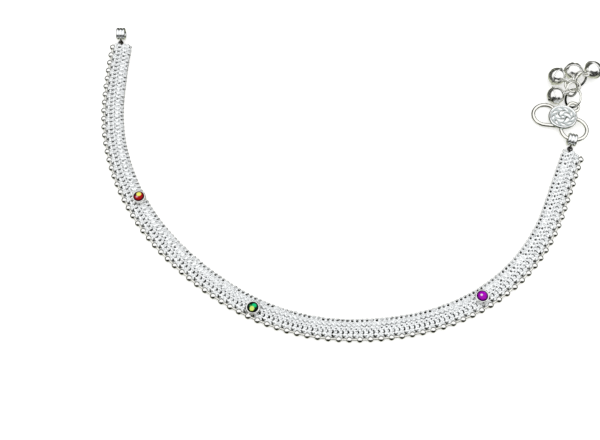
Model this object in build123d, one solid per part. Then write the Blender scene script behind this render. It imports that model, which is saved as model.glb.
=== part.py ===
"""Payal anklet, laid open on a flat surface: a woven silver band with three set stones, an empty
eye at one end, and at the other a wire clasp with a medallion and four jingle bells on rings.

Units are millimetres, +Z is up and the underside lies on Z = 0. The band is laid out along its
bead line, the outer row of round beads, which is a chain of tangent arcs.
"""

from build123d import *
from math import asin, atan2, cos, degrees, radians, sin
import os

# --- the bead line: where it starts, and what each section of it turns to the left -------------
LINE_START = (-60.6, 61.0)
START_HEADING = -95.2
SECTION = 20.0  # arc length of each section
SECTION_TURNS = [5.0, 16.0, 14.6, 14.6, 10.8, 16.1, 17.5, 12.6, 17.9, 19.4, 18.2, 0.6]
LINE_LENGTH = SECTION * len(SECTION_TURNS)

# --- the band's section, measured inwards from the bead line ------------------------------------
BEAD_D = 1.9
BAND_INNER = 6.25
BAND_T = 1.5
EDGE_ROUND = 0.6
START_TIP, END_TIP = 1.6, 2.3  # how far the band runs past its first and last edge bead
START_ROUNDS = (1.4, 1.5)  # the tip's corners in plan: bead side, then inner side
END_ROUNDS = (2.2, 1.8)

# --- set stones: distance along the bead line, and inwards from it -------------------------------
STONES = {
    "stone_red": (57.9, 4.2),
    "stone_green": (110.2, 2.55),
    "stone_magenta": (181.6, 3.2),
}
COLLET_D = 4.05
COLLET_TOP = 2.45
STONE_D = 3.1
STONE_SEAT = 1.55
STONE_T = 1.45
STONE_DOME = 0.75  # how much of the thickness is dome
STONE_GAP = 0.05

# --- ribbed eyes and the small loops that tie them to the band's ends ------------------------------
RIB_WIRE = 1.0
RIB_RADIUS = 1.45
RIB_PITCH = 0.93
RIBS = 3
NECK_WIRE = 0.5
NECK_RADIUS = 0.65
NECK_REACH = 2.2  # from the ribbed eye's middle to its neck loop's
TIP_LOOP_OUT = 0.35  # the tip loop's middle, past the band's tip
LOOP_Z = 0.95  # height of both small loops
END_EYE_ACROSS, END_EYE_HEADING = 2.3, 89.0
CLASP_EYE_ACROSS, CLASP_EYE_HEADING = 4.0, 75.0

# --- clasp: two wire loops and a medallion with a tab, made flat, then tipped up on its eye -------
# Places are measured from the middle of the closed loop, which hangs in the clasp eye.
CLASP_WIRE = 1.15
LOOP_RADIUS = 3.95
LOOP_FROM, LOOP_TO = 160.0, 460.0
HOOK_CENTRE = (-8.1, 5.7)
HOOK_RADIUS = 3.75
HOOK_FROM, HOOK_TO = 5.0, 261.0
HOOK_RUN = 5.7
MEDALLION_CENTRE = (-3.0, 4.2)
MEDALLION_X, MEDALLION_Y = 4.4, 4.3  # half sizes
PLATE_LOW, PLATE_T = 0.3, 0.75  # above the middle of the wire
RIM_W, RIM_H = 0.5, 0.35
BOSS_R, BOSS_H = 2.4, 0.25
TAB_CENTRE = (0.7, 7.8)
TAB_R = 2.05
TAB_HOLE_R = 1.15
TAB_NECK = 3.0
EYE_WIRE_Z = 1.87  # height of the closed loop's wire where it hangs in the clasp eye

# --- jump rings and bells, measured from the same place ------------------------------------------
RING_WIRE = 0.7
RING_CLEAR = 0.17
HUB_CENTRE = (0.85, 14.8)
HUB_RADIUS = 2.3
TAB_RING_LEAN = 51.0
BELL_R = 2.75
BELL_WALL = 0.35
SEAM_R, SEAM_T = 3.05, 0.5
BELL_LOOP_R = 0.8
BELL_LOOP_WIRE = 0.6
BELL_LOOP_AT = 3.5
SLOT_W, SLOT_HALF, SLOT_HOLE_R, SLOT_DEEP = 0.7, 2.0, 0.6, 0.9
HUB_BELLS = {"bell_2": 141.0, "bell_3": 80.0}  # headings from the hub ring's middle
HUB_CLIMB = 7.3  # how far these two bells' axes rise to the hub ring
# bells on rings of their own: middle, the heading and climb of the axis, and the ring's lean
RING_BELLS = {
    "bell_1": {"at": (-4.7, 11.45), "heading": 11.0, "climb": 22.0, "hub": 342.0, "lean": 130.0},
    "bell_4": {"at": (8.15, 20.9), "heading": 220.0, "climb": 9.0, "hub": 40.0, "lean": 62.0},
}


def route(s):
    """Point on the bead line at distance s, and its heading in degrees."""
    x, y = LINE_START
    heading = START_HEADING
    left = s
    for i, turn in enumerate(SECTION_TURNS):
        last = i == len(SECTION_TURNS) - 1
        run = left if last or left < SECTION else SECTION
        bend = turn * run / SECTION
        chord = 2 * sin(radians(bend) / 2) * SECTION / radians(turn)
        x += chord * cos(radians(heading + bend / 2))
        y += chord * sin(radians(heading + bend / 2))
        heading += bend
        left -= run
        if left <= 0:
            break
    return x, y, heading


def across(s, offset):
    """Point at distance s along the bead line and offset inwards from it."""
    x, y, heading = route(s)
    return x - offset * sin(radians(heading)), y + offset * cos(radians(heading)), heading


def band_section(s):
    """The band's upright section at s: a flat strip with the round bead edge beside it."""
    x, y, heading = route(s)
    along = (cos(radians(heading)), sin(radians(heading)), 0)
    inward = (-along[1], along[0], 0)
    plane = Plane(origin=(x, y, 0), x_dir=inward, z_dir=along)
    strip = Pos(BAND_INNER / 2, BAND_T / 2) * Rectangle(BAND_INNER, BAND_T)
    corners = strip.vertices().filter_by(lambda v: v.X > BAND_INNER - 0.1)
    strip = fillet(corners, EDGE_ROUND)
    return plane * (strip + Pos(0, BEAD_D / 2) * Circle(BEAD_D / 2))


def band_arc(index):
    """One section of the band: its upright section turned about the arc's own centre."""
    s = index * SECTION
    x, y, heading = route(s)
    radius = SECTION / radians(SECTION_TURNS[index])
    centre = (x - radius * sin(radians(heading)), y + radius * cos(radians(heading)), 0)
    return revolve(band_section(s), Axis(centre, (0, 0, 1)), SECTION_TURNS[index])


def band_tip(s, reach, rounds):
    """The straight tip past the first (reach below 0) or last bead, its corners rounded."""
    x, y, heading = route(s)
    low, high = -BEAD_D / 2, BAND_INNER
    bar = extrude(band_section(s), reach)
    plan = Pos(0, (low + high) / 2) * Rectangle(2 * abs(reach), high - low)
    for side, rounding in zip((low, high), rounds):
        plan = fillet(nearest_vertex(plan, reach, side), rounding)
    return bar & (Pos(x, y) * Rot(0, 0, heading) * extrude(plan, BEAD_D))


def nearest_vertex(shape, x, y):
    """The shape's corner nearest to (x, y)."""
    return min(shape.vertices(), key=lambda v: (v.X - x) ** 2 + (v.Y - y) ** 2)


def step(point, heading, distance):
    """The point at a distance from another along a heading in degrees."""
    a = radians(heading)
    return point[0] + distance * cos(a), point[1] + distance * sin(a)


def tip_loop_place(s, offset, reach):
    """Middle of the flat loop that stands out of the band's tip."""
    x, y, heading = across(s, offset)
    out = reach + (TIP_LOOP_OUT if reach > 0 else -TIP_LOOP_OUT)
    return step((x, y), heading, out)


def collet(s, offset):
    """A plain cup through the band that holds a stone."""
    x, y, _ = across(s, offset)
    cup = Cylinder(COLLET_D / 2, COLLET_TOP, align=(Align.CENTER, Align.CENTER, Align.MIN))
    seat = Cylinder(
        STONE_D / 2 + STONE_GAP,
        COLLET_TOP,
        align=(Align.CENTER, Align.CENTER, Align.MIN),
    )
    return Pos(x, y) * cup, Pos(x, y, STONE_SEAT) * seat


def make_band(loops):
    """Arcs, tips, tip loops and collets as one soldered solid."""
    band = band_arc(0)
    for index in range(1, len(SECTION_TURNS)):
        band += band_arc(index)
    band += band_tip(0, -START_TIP, START_ROUNDS)
    band += band_tip(LINE_LENGTH, END_TIP, END_ROUNDS)
    for place in loops:
        band += Pos(*place, LOOP_Z) * Torus(NECK_RADIUS, NECK_WIRE / 2)
    for s, offset in STONES.values():
        cup, seat = collet(s, offset)
        band = band + cup - seat
    return band


def make_stone(s, offset):
    """A round cabochon: a straight-sided disc cut by the large ball that makes its low dome."""
    x, y, _ = across(s, offset)
    r = STONE_D / 2
    ball = (r * r + STONE_DOME * STONE_DOME) / (2 * STONE_DOME)
    disc = Cylinder(r, STONE_T, align=(Align.CENTER, Align.CENTER, Align.MIN))
    stone = disc & (Pos(0, 0, STONE_T - ball) * Sphere(ball))
    return Pos(x, y, STONE_SEAT + STONE_GAP) * stone


def make_eye(place, heading):
    """Three side-by-side wire rings with a small neck loop behind; heading points away from it."""
    ring = Rot(90, 0, 0) * Torus(RIB_RADIUS, RIB_WIRE / 2)
    first = -(RIBS - 1) / 2
    eye = Pos(0, first * RIB_PITCH) * ring
    for i in range(1, RIBS):
        eye += Pos(0, (first + i) * RIB_PITCH) * ring
    z = RIB_RADIUS + RIB_WIRE / 2
    neck = Rot(90, 0, 0) * Torus(NECK_RADIUS, NECK_WIRE / 2)
    eye += Pos(-NECK_REACH, 0, LOOP_Z - z) * neck
    return Pos(*place, z) * Rot(0, 0, heading) * eye


def clasp_wire(line):
    """Round wire along a line or arc in the plane Z = 0."""
    return sweep(Plane(origin=line @ 0, z_dir=line % 0) * Circle(CLASP_WIRE / 2), line)


def make_clasp():
    """Hook loop, closed loop, medallion and tab, soldered together; the wire's middle is Z = 0."""
    wire = clasp_wire(CenterArc((*HOOK_CENTRE, 0), HOOK_RADIUS, HOOK_FROM, HOOK_TO - HOOK_FROM))
    foot = step(HOOK_CENTRE, HOOK_TO, HOOK_RADIUS)
    wire += clasp_wire(Line(foot, step(foot, HOOK_TO + 90, HOOK_RUN)))
    wire += clasp_wire(CenterArc((0, 0, 0), LOOP_RADIUS, LOOP_FROM, LOOP_TO - LOOP_FROM))
    middle = Pos(*MEDALLION_CENTRE)
    plate = middle * extrude(Ellipse(MEDALLION_X, MEDALLION_Y), PLATE_T)
    rim = Ellipse(MEDALLION_X, MEDALLION_Y) - Ellipse(MEDALLION_X - RIM_W, MEDALLION_Y - RIM_W)
    plate += middle * Pos(0, 0, PLATE_T) * extrude(rim, RIM_H)
    plate += middle * Pos(0, 0, PLATE_T) * extrude(Circle(BOSS_R), BOSS_H)
    dx, dy = TAB_CENTRE[0] - MEDALLION_CENTRE[0], TAB_CENTRE[1] - MEDALLION_CENTRE[1]
    reach = (dx * dx + dy * dy) ** 0.5
    neck = Rot(0, 0, degrees(atan2(dy, dx))) * Pos(reach / 2) * Rectangle(reach, TAB_NECK)
    plate += middle * extrude(neck, PLATE_T)
    plate += Pos(*TAB_CENTRE) * extrude(Circle(TAB_R), PLATE_T)
    hole = Pos(*TAB_CENTRE, -PLATE_T) * extrude(Circle(TAB_HOLE_R), 3 * PLATE_T)
    return wire + Pos(0, 0, PLATE_LOW) * (plate - hole)


def clasp_pose():
    """Where the flat clasp goes: its hook's far side stays down, its closed loop sits in the eye."""
    eye = step((0, 0), CLASP_EYE_HEADING + 180, LOOP_RADIUS)
    dx, dy = HOOK_CENTRE[0] - eye[0], HOOK_CENTRE[1] - eye[1]
    reach = (dx * dx + dy * dy) ** 0.5 + HOOK_RADIUS
    slope = degrees(asin((EYE_WIRE_Z - CLASP_WIRE / 2) / reach))
    turn = degrees(atan2(dy, dx))
    tip = Rot(0, 0, turn) * Rot(0, slope, 0) * Rot(0, 0, -turn)
    return Pos(*eye, EYE_WIRE_Z) * tip * Pos(-eye[0], -eye[1])


def link_ring(start, end, lean):
    """A jump ring through start and end, opposite points of its centre line, leaning sideways."""
    a, b = Vector(*start), Vector(*end)
    along = (b - a).normalized()
    side = along.cross(Vector(0, 0, 1)).normalized()
    up = side.cross(along)
    other = side * cos(radians(lean)) + up * sin(radians(lean))
    plane = Plane(origin=(a + b) / 2, x_dir=along, z_dir=along.cross(other))
    return plane * Torus((b - a).length / 2, RING_WIRE / 2)


def make_bell():
    """A hollow bell about its own middle: seam, slot at the bottom, loop at the top (+Z)."""
    bell = Sphere(BELL_R) + Cylinder(SEAM_R, SEAM_T)
    bell += Pos(0, 0, BELL_LOOP_AT) * Rot(90, 0, 0) * Torus(BELL_LOOP_R, BELL_LOOP_WIRE / 2)
    bell -= Sphere(BELL_R - BELL_WALL)
    down = (Align.CENTER, Align.CENTER, Align.MAX)
    bell -= Pos(0, 0, -SLOT_DEEP) * Box(2 * SLOT_HALF, SLOT_W, BELL_R, align=down)
    for x in (-SLOT_HALF, SLOT_HALF):
        bell -= Pos(x, 0, -SLOT_DEEP) * Cylinder(SLOT_HOLE_R, BELL_R, align=down)
    return bell


def bell_plane(centre, eye):
    """A bell's place: its axis points from its middle to its loop's eye, its loop stands upright."""
    axis = (Vector(*eye) - Vector(*centre)).normalized()
    side = axis.cross(Vector(0, 0, 1)).normalized()
    return Plane(origin=centre, x_dir=side.cross(axis), z_dir=axis)


def bell_height(climb):
    """Height of a bell's middle when its seam rests on the surface and its axis climbs."""
    return SEAM_R * cos(radians(climb)) + SEAM_T / 2 * sin(radians(climb))


def eye_height(climb):
    """Height of the eye of a bell's loop when the bell rests as in bell_height."""
    return bell_height(climb) + BELL_LOOP_AT * sin(radians(climb))


def hub_point(heading, radius):
    """Point at a heading and distance from the hub ring's middle, at the ring's height."""
    return *step(HUB_CENTRE, heading, radius), eye_height(HUB_CLIMB)


def make_bells_and_rings(tab_hole):
    """The hub ring, the ring from it to the tab, and the bells with any rings of their own."""
    inside = HUB_RADIUS - RING_WIRE - RING_CLEAR  # a ring hung on the hub ring passes inside it
    to_tab = degrees(atan2(tab_hole[1] - HUB_CENTRE[1], tab_hole[0] - HUB_CENTRE[0]))
    nodes = {
        "jump_ring_1": link_ring(tab_hole, hub_point(to_tab, inside), TAB_RING_LEAN),
        "jump_ring_2": Pos(*hub_point(0, 0)) * Torus(HUB_RADIUS, RING_WIRE / 2),
    }
    out = HUB_RADIUS + BELL_LOOP_AT * cos(radians(HUB_CLIMB))
    for name, heading in HUB_BELLS.items():
        centre = (*step(HUB_CENTRE, heading, out), bell_height(HUB_CLIMB))
        nodes[name] = bell_plane(centre, hub_point(heading, HUB_RADIUS)) * make_bell()
    for number, (name, place) in enumerate(RING_BELLS.items(), start=3):
        climb = place["climb"]
        eye = step(place["at"], place["heading"], BELL_LOOP_AT * cos(radians(climb)))
        eye = (*eye, eye_height(climb))
        centre = (*place["at"], bell_height(climb))
        nodes[f"jump_ring_{number}"] = link_ring(eye, hub_point(place["hub"], inside), place["lean"])
        nodes[name] = bell_plane(centre, eye) * Rot(0, 0, -place["lean"]) * make_bell()
    return nodes


def main():
    start_loop = tip_loop_place(0, END_EYE_ACROSS, -START_TIP)
    end_loop = tip_loop_place(LINE_LENGTH, CLASP_EYE_ACROSS, END_TIP)
    tie = NECK_RADIUS + NECK_REACH
    end_eye = step(start_loop, END_EYE_HEADING, tie)
    clasp_eye = step(end_loop, CLASP_EYE_HEADING, tie)
    nodes = {"band": make_band([start_loop, end_loop])}
    for name, (s, offset) in STONES.items():
        nodes[name] = make_stone(s, offset)
    nodes["end_eye"] = make_eye(end_eye, END_EYE_HEADING)
    nodes["clasp_eye"] = make_eye(clasp_eye, CLASP_EYE_HEADING)

    clasp_at = Pos(*step(clasp_eye, CLASP_EYE_HEADING, LOOP_RADIUS))
    pose = clasp_pose()
    nodes["clasp"] = clasp_at * pose * make_clasp()
    hole = pose * Pos(*TAB_CENTRE, PLATE_LOW + PLATE_T / 2)
    for name, shape in make_bells_and_rings(tuple(hole.position)).items():
        nodes[name] = clasp_at * shape

    bounds = Compound(list(nodes.values())).bounding_box()
    middle = bounds.center()
    os.makedirs("parts", exist_ok=True)
    for name, shape in nodes.items():
        export_step(Pos(-middle.X, -middle.Y) * shape, f"parts/{name}.step")
    print("layout moved by", -middle.X, -middle.Y, "size", bounds.size, "low", bounds.min.Z)


if __name__ == "__main__":
    main()
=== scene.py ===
"""A silver payal anklet lying open on a white sheet.

Lengths are in millimetres and turn to metres when a mesh is made. The band is drawn along its
bead line: s runs along the line, n is measured inwards from it, and z is up. Angles in names and
tables are in degrees.
"""

from collections import namedtuple
from math import atan2, cos, degrees, pi, radians, sin

import bpy
import numpy as np
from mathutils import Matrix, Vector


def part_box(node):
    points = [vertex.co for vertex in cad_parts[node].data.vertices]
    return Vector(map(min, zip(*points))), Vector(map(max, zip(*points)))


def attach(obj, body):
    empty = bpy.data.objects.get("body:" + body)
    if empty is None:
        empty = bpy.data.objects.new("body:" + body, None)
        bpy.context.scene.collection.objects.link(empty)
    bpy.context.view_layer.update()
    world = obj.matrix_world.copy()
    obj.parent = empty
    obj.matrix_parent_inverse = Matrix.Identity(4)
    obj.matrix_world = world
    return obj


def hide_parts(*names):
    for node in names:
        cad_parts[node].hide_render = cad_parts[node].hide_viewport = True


MM = 0.001
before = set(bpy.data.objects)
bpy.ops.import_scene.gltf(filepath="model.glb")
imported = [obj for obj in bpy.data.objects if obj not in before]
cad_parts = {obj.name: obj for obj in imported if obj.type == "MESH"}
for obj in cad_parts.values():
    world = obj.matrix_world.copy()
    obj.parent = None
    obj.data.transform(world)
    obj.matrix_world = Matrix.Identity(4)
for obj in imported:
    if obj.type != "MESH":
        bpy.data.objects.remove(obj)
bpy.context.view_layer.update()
rng = np.random.default_rng(11)

# --- bead line: tangent arcs in a layout of its own ---
LINE_START = np.array([-60.6, 61.0])
START_HEADING = -95.2
SECTION = 20.0
SECTION_TURNS = np.radians([5.0, 16.0, 14.6, 14.6, 10.8, 16.1, 17.5, 12.6, 17.9, 19.4, 18.2, 0.6])
LINE_LENGTH = SECTION * len(SECTION_TURNS)
# How far the links have slipped forward, at distances along the band.
SLIP_AT = [0, 60, 132, 160, 205, 220, 240]
SLIP = [0, -0.7, -1.2, -1.2, 0.0, 0.35, 0.2]

# --- band ---
BEAD_R = 0.95
BEAD_PITCH = 3.0
BEAD_UNEVEN = 0.03  # the smallest bead is that share smaller than the largest
EDGE_WIRE_R, EDGE_WIRE_IN, EDGE_WIRE_Z = 0.28, 0.05, 0.72
EDGE_WIRE_BEFORE, EDGE_WIRE_BEYOND = 1.0, 1.6  # past the bead line's ends
LINK_PITCH = 1.5
LINK_TILT, LINK_STRAY = 5.0, 0.03  # spread of the links' angles, and of their places across
STONE_GAP = 0.1  # between a collet and the middle of the nearest link
BAND_INNER = 6.25
START_TIP, END_TIP = 1.6, 2.3  # the band's tips, past the bead line's ends
# Rows of links: place across, height, half length, half width and wire radius of a link, how it
# leans forward and rolls, pitch, phase, and how far the row runs past the bead line's ends.
Row = namedtuple("Row", "n z long wide wire lean roll pitch phase before beyond")
LINK_ROWS = {
    "bead_ties": Row(1.5, 1.0, 0.34, 0.12, 0.2, 0, 8, BEAD_PITCH, 0.0, 0.0, 0.0),
    "scale_links": Row(2.1, 1.06, 0.24, 0.34, 0.25, 10, 0, LINK_PITCH, 0.55, 1.5, 1.5),
    "middle_links": Row(3.25, 1.02, 0.26, 0.26, 0.24, 12, 0, LINK_PITCH, 1.35, 1.5, 1.5),
    "zigzag_links": Row(4.6, 1.0, 0.3, 0.2, 0.22, 14, 12, LINK_PITCH, 0.2, 1.5, 1.5),
    "inner_links": Row(5.5, 1.0, 0.53, 0.51, 0.18, 10, -8, LINK_PITCH, 0.95, 1.5, 0.8),
}
# Links that gather the rows at the tips: distance past the tip of the line (minus at the start),
# place across, and turn.
TIP_LINKS = [(-0.9, 4.6, 25), (-0.9, 3.5, -20), (-1.0, 1.2, 10),
             (1.3, 5.2, 30), (1.6, 2.9, -25), (1.0, 1.5, 15)]
TIP_LINK, TIP_LINK_Z = (0.55, 0.5, 0.28), 1.0  # half length, half width and wire radius; height
TIP_LINK_ROLL, TIP_LINK_LEAN = 8, 5

# --- the band's base, seen between the links ---
BASE_TOP, BASE_LOW = 1.03, 0.28
BASE_NEAR, BASE_SPLIT, BASE_FAR = 0.35, 3.1, BAND_INNER - 0.4
BASE_BEFORE, BASE_BEYOND = 1.3, 2.0  # past the bead line's ends
BASE_STEP, BASE_OVER, BASE_UNDER = 0.1, 32, 4  # length of a step, and its points over and under
RIPPLE, RIPPLE_ACROSS = 0.06, 1.1  # height of the ripple underneath, and its length across
CORNER_R = 1.8
CORNER_START, CORNER_END = 0.2, 0.3  # where they begin, in from the line's ends
# The edge falls off under the beads: where from, how steeply, and over what width.
EDGE_FROM, EDGE_SLOPE, EDGE_WIDTH = 0.85, 0.6, 0.5
DEEPEST = 0.55  # depth of a hollow of strength 1
# At distances along the band: strength of the hollows, and how far the dots run into a zigzag.
STRONG_AT, STRONG = [0.0, 19.2, 72.0, 144.0, 240.0], [1.08, 1.03, 0.96, 1.0, 1.15]
BOW_AT, BOW = [86.4, 110.4, 168.0, 192.0], [0.0, 1.0, 1.0, 0.0]
# The V between two beads: its strokes as start and end (along, across), half width and strength,
# and how strong the weakest and the strongest V are.
V_STROKES = [((-0.42, 1.0), (-0.04, 0.66), 0.29, 1.0), ((-0.04, 0.66), (0.38, 0.96), 0.24, 0.9)]
V_STRENGTH = 0.85, 1.0
# Crescents ahead of the scale links: how far ahead, how far back from there their middle is,
# radius, reach to each side, where they begin, and the ranges of half width and strength.
CRESCENT_AHEAD, CRESCENT_BACK, CRESCENT_R = 0.6, 0.42, 0.48
CRESCENT_REACH, CRESCENT_FROM = 0.62, -0.3
CRESCENT_HALF, CRESCENT_STRENGTH = (0.26, 0.34), (0.85, 1.2)
# Rows of round hollows, one to a link: place across, phase, least and most strength, slip across,
# half width, and how much they are drawn in along and across. The specks come two to a link.
Dots = namedtuple("Dots", "n phase least most slip half along across")
FINE_DOTS = Dots(3.15, 0.6, 0.75, 1.3, 0.14, 0.26, 1.0, 1.0)
ZIGZAG_DOTS = Dots(3.95, 0.0, 0.4, 1.0, 0.2, 0.36, 0.8, 1.0)
SPECKS = Dots(4.65, 0.3, -0.3, 1.1, 0.0, 0.25, 1.0, 1.0)
EYES = Dots(5.5, 0.95, 0.6, 1.15, 0.0, 0.46, 1.0, 0.9)
SPECK_FADE = 0.5  # share of their strength that they lose round the bow
# The zigzag that the dots run into: place of its outer corners, slope, half width and strength.
ZIGZAG_N, ZIGZAG_SLOPE, ZIGZAG_HALF, ZIGZAG_STRENGTH = 3.66, 0.75, 0.22, (0.65, 0.95)

# --- stones and their collets ---
# Where each stone is, along the bead line and across.
STONES = {"stone_red": (57.9, 4.2), "stone_green": (110.2, 2.55), "stone_magenta": (181.6, 3.2)}
COLLET_R = 2.025
STONE_R = 1.55
STONE_LOW, STONE_TOP, STONE_DOME = 1.6, 3.05, 0.75
# Faint grooves round the beads and the collets: radius, half width and strength.
BEAD_GROOVE, COLLET_GROOVE = (1.16, 0.17, 0.45), (COLLET_R + 0.18, 0.24, 0.7)

# --- ribbed eyes and neck loops ---
RIB_WIRE, RIB_RADIUS, RIB_PITCH = 1.0, 1.45, 0.93
NECK_WIRE, NECK_RADIUS = 0.5, 0.65
NECK_REACH = 2.2  # from an eye's middle to the middle of the upright loop behind it
TIP_LOOP_OUT, LOOP_Z = 0.35, 0.95  # how far a flat loop's middle stands out of the tip
END_EYE_ACROSS, END_EYE_HEADING = 2.3, 89.0
CLASP_EYE_ACROSS, CLASP_EYE_HEADING = 4.0, 75.0

# --- clasp, laid flat round the middle of its loop ---
CLASP_WIRE = 1.15
LOOP_RADIUS = 3.95
LOOP_FROM, LOOP_TO = 160.0, 460.0
HOOK_CENTRE = (-8.1, 5.7)
HOOK_RADIUS = 3.75
HOOK_FROM, HOOK_TO = 5.0, 261.0
HOOK_RUN = 5.7  # length of its straight foot
MEDALLION_CENTRE = (-3.0, 4.2)
MEDALLION_X, MEDALLION_Y = 4.4, 4.3
PLATE_LOW, PLATE_T = 0.3, 0.75
TAB_CENTRE = (0.7, 7.8)
TAB_R, TAB_HOLE_R = 2.05, 1.15
TAB_NECK_HALF, TAB_NECK_FROM = 1.5, 3.5
EYE_WIRE_Z = 1.87  # height of the loop's wire inside the clasp eye
# The rosette: how many of each part it has, and the rings that they fill, as middle and half
# width in shares of the way out, and height.
PETALS, SPRIGS, TEETH = 5, 9, 40
BOSS, PETAL, VEIN = (0.0, 0.13, 0.3), (0.36, 0.2, 0.32), (0.36, 0.15, -0.16)
SPRIG, TOOTH, RIM = (0.68, 0.14, 0.26), (0.84, 0.04, 0.1), (0.925, 0.075, 0.33)
PETAL_WHIRL, SPRIG_WHIRL = 2.2, -1.6  # radians that they turn from the middle to the rim
RELIEF = 0.78

# --- jump rings and bells ---
RING_WIRE = 0.7
RING_CLEAR = 0.17  # between two rings that hang in each other
SAW_CUT = 1.2  # half the angle that a jump ring's cut leaves open
HUB_CENTRE = (0.85, 14.8)
HUB_RADIUS = 2.3
TAB_RING_LEAN = 51.0
HUB_CUT, TAB_RING_CUT, BELL_RING_CUT = 330, 300, 60  # where each ring is cut
BELL_R, BELL_WALL = 2.75, 0.35
SEAM_R, SEAM_T = 3.05, 0.5
BELL_LOOP_R, BELL_LOOP_WIRE, BELL_LOOP_AT = 0.8, 0.6, 3.5
SLOT_W, SLOT_HALF, SLOT_HOLE_R = 0.7, 2.0, 0.6
# Bells on the hub itself, by heading, and bells on rings of their own: place, the heading from
# the bell to its loop, how its axis climbs, and where its ring holds the hub and how it leans.
HUB_BELLS = {"bell_2": 141.0, "bell_3": 80.0}
HUB_CLIMB = 7.3
RING_BELLS = {
    "bell_1": ((-4.7, 11.45), 11.0, 22.0, 342.0, 130.0),
    "bell_4": ((8.15, 20.9), 220.0, 9.0, 40.0, 62.0),
}
# The seam's outline and the solder under the loop, as (radius, height) from the bell's middle.
SEAM = [(2.6, -0.22), (2.95, -0.23), (SEAM_R - 0.02, -0.17), (SEAM_R, -0.05), (SEAM_R, 0.05),
        (SEAM_R - 0.02, 0.17), (2.95, 0.23), (2.6, 0.22)]
LOOP_SOLDER = [(0, 2.55), (0.62, 2.6), (0.5, 2.8), (0.3, 2.95), (0, 3.0)]
# Dents pressed into each bell: direction from its middle, width in radians, and depth.
DENTS = {
    "bell_1": [((0.5, 0.6, 0.5), 0.5, 0.07), ((-0.7, 0.2, 0.6), 0.6, 0.08),
               ((0.2, -0.9, -0.3), 0.5, 0.06)],
    "bell_2": [((0.8, 0.1, 0.5), 0.45, 0.06), ((-0.2, 0.9, 0.2), 0.6, 0.07)],
    "bell_3": [((0.4, 0.5, 0.7), 0.5, 0.05), ((0.9, -0.4, 0.3), 0.6, 0.06)],
    "bell_4": [((0.6, -0.5, 0.6), 0.55, 0.07), ((0.1, 0.9, 0.4), 0.5, 0.05)],
}

# --- room and camera ---
# The room that the metal mirrors, by z (up) and y (away) of a unit direction: from the dark
# horizon to white, from the horizon to the pale ground, and the sides of the dark patch.
HORIZON = {"From Min": 0.1, "From Max": 0.33}
PALE_BELOW = {"From Min": -0.5, "From Max": -0.8}
PATCH_FRONT = {"From Min": -0.38, "From Max": -0.72}
PATCH_TOP = {"From Min": 0.66, "From Max": 0.48}
BACK_RISE = -0.45  # y's share in the height, so that the dark reaches higher at the back
ROOM_WHITE, ROOM_PALE, ROOM_HORIZON, ROOM_PATCH = "#ffffff", "#b9bca8", "#34352b", "#0e0f08"
ROOM_LIGHT = 1.1
CAMERA_AWAY, CAMERA_CLIMB = 299.2, 65.4


# ===== shapes: each is (points, quads, triangles) =====
NO_TRIANGLES = np.zeros((0, 3), int)


def unit(v):
    """v at length 1, along its last axis."""
    return v / np.linalg.norm(v, axis=-1, keepdims=True)


def around(count):
    """That many even angles of a full turn, as a row."""
    return np.linspace(0, 2 * pi, count, endpoint=False)[None, :]


def grid(rows, cols, closed_rows=False):
    """Quads of a rows by cols grid of points, joined round its columns, and its rows if closed."""
    r = np.arange(rows if closed_rows else rows - 1)[:, None]
    c = np.arange(cols)[None, :]
    r2, c2 = (r + 1) % rows, (c + 1) % cols
    corners = r * cols + c, r * cols + c2, r2 * cols + c2, r2 * cols + c
    return np.stack(corners, -1).reshape(-1, 4)


def capped(rings, start, end):
    """Rings of points joined into a skin whose two ends close on the points start and end."""
    rows, cols = rings.shape[:2]
    points = np.concatenate([rings.reshape(-1, 3), [start, end]])
    c = np.arange(cols)
    c2 = (c + 1) % cols
    first, last = rows * cols, rows * cols + 1
    head = np.stack([np.full(cols, first), c2, c], -1)
    tail = np.stack([np.full(cols, last), first - cols + c, first - cols + c2], -1)
    return points, grid(rows, cols), np.concatenate([head, tail])


def ball(rows=11, cols=20):
    """A ball of radius 1: (sin a cos b, sin a sin b, cos a), its poles closed with triangles."""
    a = np.linspace(pi, 0, rows + 2)[1:-1, None]
    b = around(cols)
    rings = np.stack([np.sin(a) * np.cos(b), np.sin(a) * np.sin(b), np.cos(a) + 0 * b], -1)
    return capped(rings, (0, 0, -1), (0, 0, 1))


def link(long, wide, wire, steps=12, sides=5):
    """An oval wire link about Z: a wire circle carried round the oval (long cos a, wide sin a)."""
    a, b = around(steps).T, around(sides)
    outward = unit(np.concatenate([wide * np.cos(a), long * np.sin(a)], 1))
    x = long * np.cos(a) + wire * np.cos(b) * outward[:, :1]
    y = wide * np.sin(a) + wire * np.cos(b) * outward[:, 1:]
    points = np.stack([x, y, -wire * np.sin(b) + 0 * a], -1)
    return points.reshape(-1, 3), grid(steps, sides, True), NO_TRIANGLES


def ring(radius, wire, steps, sides):
    """A round link."""
    return link(radius, radius, wire, steps, sides)


def tube(path, radius, sides, cap_rows=3):
    """Round wire along an open path, its ends rounded: the circle stays square to the path."""
    along = unit(np.gradient(path, axis=0))
    first, last = along[0], along[-1]
    a = np.linspace(0, pi / 2, cap_rows + 1)[1:-1]
    head = path[0] - first * radius * np.sin(a)[::-1, None]
    tail = path[-1] + last * radius * np.sin(a)[:, None]
    line = np.concatenate([head, path, tail])
    along = np.pad(along, ((len(a), len(a)), (0, 0)), mode="edge")
    size = radius * np.concatenate([np.cos(a)[::-1], np.ones(len(path)), np.cos(a)])[:, None, None]
    side = unit(np.cross([0, 0, 1], along))
    top = np.cross(along, side)
    b = around(sides)[..., None]
    rings = line[:, None] + size * (np.cos(b) * side[:, None] + np.sin(b) * top[:, None])
    return capped(rings, path[0] - first * radius, path[-1] + last * radius)


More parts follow.
